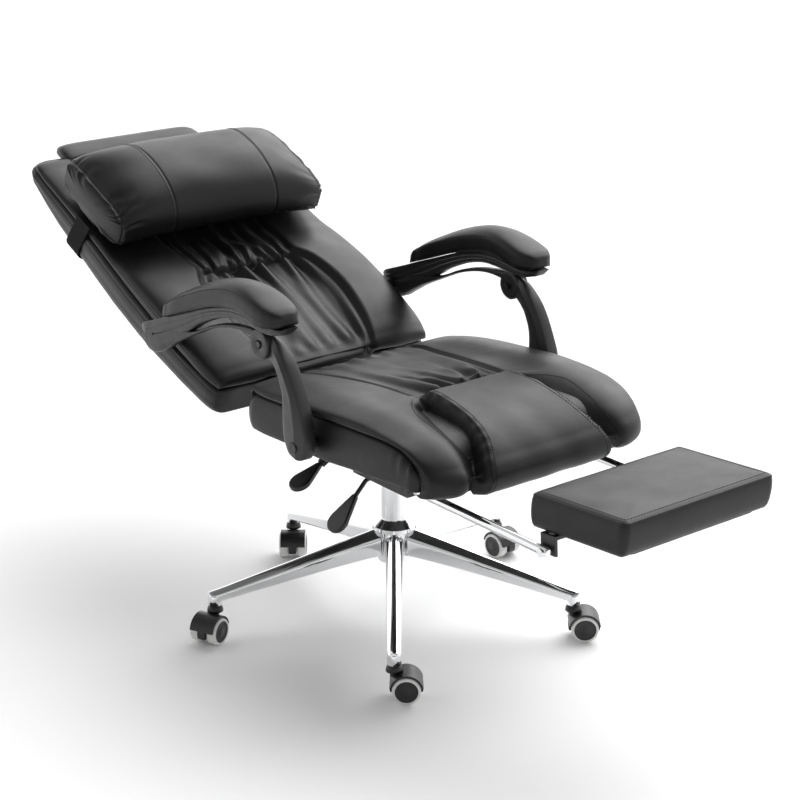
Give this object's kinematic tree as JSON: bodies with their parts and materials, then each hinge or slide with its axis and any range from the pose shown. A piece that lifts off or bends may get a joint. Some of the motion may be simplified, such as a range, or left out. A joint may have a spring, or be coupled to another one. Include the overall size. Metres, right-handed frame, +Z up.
{
  "type": "executive chair",
  "caption": "Reclining executive chair with padded black upholstery, head pillow, linked armrests, pull-out footrest, chrome star base and twin-wheel casters.",
  "frame": {"origin": "point on the floor under the gas column's axis", "axes": "+Z up; the chair faces -Y; +X is the sitter's left"},
  "size_m": [0.7387, 1.6853, 0.7885],
  "materials": {
    "chrome": "mirror chrome plating",
    "steel": "zinc plated",
    "black_steel": "black powder coat",
    "bush_plastic": "moulded",
    "board": "plywood",
    "upholstery": "black PU leather over foam, satin, soft grain",
    "elastic": "woven black elastic",
    "arm_plastic": "fine moulded texture",
    "lever_plastic": "moulded",
    "boot_rubber": "ribbed",
    "caster_plastic": "moulded nylon",
    "wheel": "black core with a pale tyre ring"
  },
  "bodies": {
    "base": {"base_hub": "chrome", "base_arms": "chrome", "caster_stems": "steel", "gas_tube": "chrome", "gas_bush": "bush_plastic"},
    "spindle": {"piston_rod": "steel", "thrust_bearing": "steel"},
    "seat": {"gas_cylinder": "black_steel", "mechanism_housing": "black_steel", "seat_board": "board", "seat_boxing": "upholstery", "seat_cushion": "upholstery", "footrest_guides": "black_steel", "hinge_pins": "steel", "arm_seat_bolts": "steel"},
    "back": {"back_irons": "black_steel", "back_board": "board", "back_shell": "upholstery", "back_cushion": "upholstery", "arm_rear_bolts": "steel"},
    "pillow": {"head_pillow": "upholstery", "pillow_strap": "elastic"},
    "footrest_slide": {"footrest_rods": "chrome", "footrest_pivots": "steel"},
    "footrest": {"footrest_bracket": "black_steel", "footrest_board": "board", "footrest_cushion": "upholstery"},
    "height_lever": {"height_lever_rod": "black_steel", "height_lever_paddle": "lever_plastic"},
    "recline_lever": {"recline_lever_rod": "black_steel", "recline_lever_paddle": "lever_plastic", "lever_boot": "boot_rubber"},
    "arm_upright_left": {"arm_upright_left": "arm_plastic", "arm_pivot_left": "steel"},
    "armrest_left": {"armrest_frame_left": "arm_plastic", "armrest_pad_left": "upholstery"},
    "arm_upright_right": {"arm_upright_right": "arm_plastic", "arm_pivot_right": "steel"},
    "armrest_right": {"armrest_frame_right": "arm_plastic", "armrest_pad_right": "upholstery"},
    "caster_front_right": {"caster_front_right_hood": "caster_plastic", "caster_front_right_axle": "steel"},
    "caster_front_right_wheel_a": {"caster_front_right_wheel_a": "wheel"},
    "caster_front_right_wheel_b": {"caster_front_right_wheel_b": "wheel"},
    "caster_front_left": {"caster_front_left_hood": "caster_plastic", "caster_front_left_axle": "steel"},
    "caster_front_left_wheel_a": {"caster_front_left_wheel_a": "wheel"},
    "caster_front_left_wheel_b": {"caster_front_left_wheel_b": "wheel"},
    "caster_left": {"caster_left_hood": "caster_plastic", "caster_left_axle": "steel"},
    "caster_left_wheel_a": {"caster_left_wheel_a": "wheel"},
    "caster_left_wheel_b": {"caster_left_wheel_b": "wheel"},
    "caster_rear": {"caster_rear_hood": "caster_plastic", "caster_rear_axle": "steel"},
    "caster_rear_wheel_a": {"caster_rear_wheel_a": "wheel"},
    "caster_rear_wheel_b": {"caster_rear_wheel_b": "wheel"},
    "caster_right": {"caster_right_hood": "caster_plastic", "caster_right_axle": "steel"},
    "caster_right_wheel_a": {"caster_right_wheel_a": "wheel"},
    "caster_right_wheel_b": {"caster_right_wheel_b": "wheel"}
  },
  "joints": [
    {"name": "seat_swivel", "type": "hinge", "parent": "base", "child": "spindle", "pos_m": [0, 0, 0.2], "axis": [0, 0, 1], "continuous": true},
    {"name": "seat_lift", "type": "slide", "parent": "spindle", "child": "seat", "axis": [0, 0, 1], "range_m": [0, 0.085]},
    {"name": "back_recline", "type": "hinge", "parent": "seat", "child": "back", "pos_m": [0, 0.2, 0.382], "axis": [1, 0, 0], "range_deg": [0, 52]},
    {"name": "footrest_draw", "type": "slide", "parent": "seat", "child": "footrest_slide", "axis": [0, 1, 0], "range_m": [0, 0.285]},
    {"name": "footrest_flip", "type": "hinge", "parent": "footrest_slide", "child": "footrest", "pos_m": [0, -0.596, 0.379], "axis": [1, 0, 0], "range_deg": [0, 180]},
    {"name": "pillow_height", "type": "slide", "parent": "back", "child": "pillow", "axis": [0, 0.9135, 0.4067], "range_m": [0, 0.04]},
    {"name": "height_lever_lift", "type": "hinge", "parent": "seat", "child": "height_lever", "pos_m": [-0.057, -0.111, 0.352], "axis": [0, 1, 0], "range_deg": [0, 8], "stiffness_Nm_per_rad": 12, "springref_deg": -5.73},
    {"name": "recline_lever_lift", "type": "hinge", "parent": "seat", "child": "recline_lever", "pos_m": [-0.057, 0.019, 0.352], "axis": [0, 1, 0], "range_deg": [0, 8], "stiffness_Nm_per_rad": 12, "springref_deg": -5.73},
    {"name": "arm_upright_left_swing", "type": "hinge", "parent": "seat", "child": "arm_upright_left", "pos_m": [0.28, -0.103, 0.433], "axis": [1, 0, 0], "range_deg": [0, 54]},
    {"name": "armrest_left_tilt", "type": "hinge", "parent": "arm_upright_left", "child": "armrest_left", "pos_m": [0.28, -0.003, 0.591], "axis": [1, 0, 0], "range_deg": [-46, 0]},
    {"name": "arm_upright_right_swing", "type": "hinge", "parent": "seat", "child": "arm_upright_right", "pos_m": [-0.28, -0.103, 0.433], "axis": [1, 0, 0], "range_deg": [0, 54]},
    {"name": "armrest_right_tilt", "type": "hinge", "parent": "arm_upright_right", "child": "armrest_right", "pos_m": [-0.28, -0.003, 0.591], "axis": [1, 0, 0], "range_deg": [-46, 0]},
    {"name": "caster_front_right_swivel", "type": "hinge", "parent": "base", "child": "caster_front_right", "pos_m": [-0.2132, -0.26996, 0.06], "axis": [0, 0, 1], "continuous": true},
    {"name": "caster_front_right_roll_a", "type": "hinge", "parent": "caster_front_right", "child": "caster_front_right_wheel_a", "pos_m": [-0.19677, -0.28304, 0.025], "axis": [-0.6225, -0.7826, 0], "continuous": true},
    {"name": "caster_front_right_roll_b", "type": "hinge", "parent": "caster_front_right", "child": "caster_front_right_wheel_b", "pos_m": [-0.19677, -0.28304, 0.025], "axis": [-0.6225, -0.7826, 0], "continuous": true},
    {"name": "caster_front_left_swivel", "type": "hinge", "parent": "base", "child": "caster_front_left", "pos_m": [0.19087, -0.28619, 0.06], "axis": [0, 0, 1], "continuous": true},
    {"name": "caster_front_left_roll_a", "type": "hinge", "parent": "caster_front_left", "child": "caster_front_left_wheel_a", "pos_m": [0.2073, -0.29927, 0.025], "axis": [-0.6225, -0.7826, 0], "continuous": true},
    {"name": "caster_front_left_roll_b", "type": "hinge", "parent": "caster_front_left", "child": "caster_front_left_wheel_b", "pos_m": [0.2073, -0.29927, 0.025], "axis": [-0.6225, -0.7826, 0], "continuous": true},
    {"name": "caster_left_swivel", "type": "hinge", "parent": "base", "child": "caster_left", "pos_m": [0.33117, 0.09309, 0.06], "axis": [0, 0, 1], "continuous": true},
    {"name": "caster_left_roll_a", "type": "hinge", "parent": "caster_left", "child": "caster_left_wheel_a", "pos_m": [0.33241, 0.07212, 0.025], "axis": [-0.9982, -0.0593, 0], "continuous": true},
    {"name": "caster_left_roll_b", "type": "hinge", "parent": "caster_left", "child": "caster_left_wheel_b", "pos_m": [0.33241, 0.07212, 0.025], "axis": [-0.9982, -0.0593, 0], "continuous": true},
    {"name": "caster_rear_swivel", "type": "hinge", "parent": "base", "child": "caster_rear", "pos_m": [0.0138, 0.34372, 0.06], "axis": [0, 0, 1], "continuous": true},
    {"name": "caster_rear_roll_a", "type": "hinge", "parent": "caster_rear", "child": "caster_rear_wheel_a", "pos_m": [0.00073, 0.32729, 0.025], "axis": [-0.7826, 0.6225, 0], "continuous": true},
    {"name": "caster_rear_roll_b", "type": "hinge", "parent": "caster_rear", "child": "caster_rear_wheel_b", "pos_m": [0.00073, 0.32729, 0.025], "axis": [-0.7826, 0.6225, 0], "continuous": true},
    {"name": "caster_right_swivel", "type": "hinge", "parent": "base", "child": "caster_right", "pos_m": [-0.32263, 0.11935, 0.06], "axis": [0, 0, 1], "continuous": true},
    {"name": "caster_right_roll_a", "type": "hinge", "parent": "caster_right", "child": "caster_right_wheel_a", "pos_m": [-0.34189, 0.11097, 0.025], "axis": [-0.3987, 0.9171, 0], "continuous": true},
    {"name": "caster_right_roll_b", "type": "hinge", "parent": "caster_right", "child": "caster_right_wheel_b", "pos_m": [-0.34189, 0.11097, 0.025], "axis": [-0.3987, 0.9171, 0], "continuous": true}
  ],
  "couplings": [
    {"joint": "footrest_flip", "follows": "footrest_draw", "rad_per_m": 11.02},
    {"joint": "arm_upright_left_swing", "follows": "back_recline", "ratio": 1.034},
    {"joint": "armrest_left_tilt", "follows": "back_recline", "ratio": -0.87},
    {"joint": "arm_upright_right_swing", "follows": "back_recline", "ratio": 1.034},
    {"joint": "armrest_right_tilt", "follows": "back_recline", "ratio": -0.87}
  ]
}
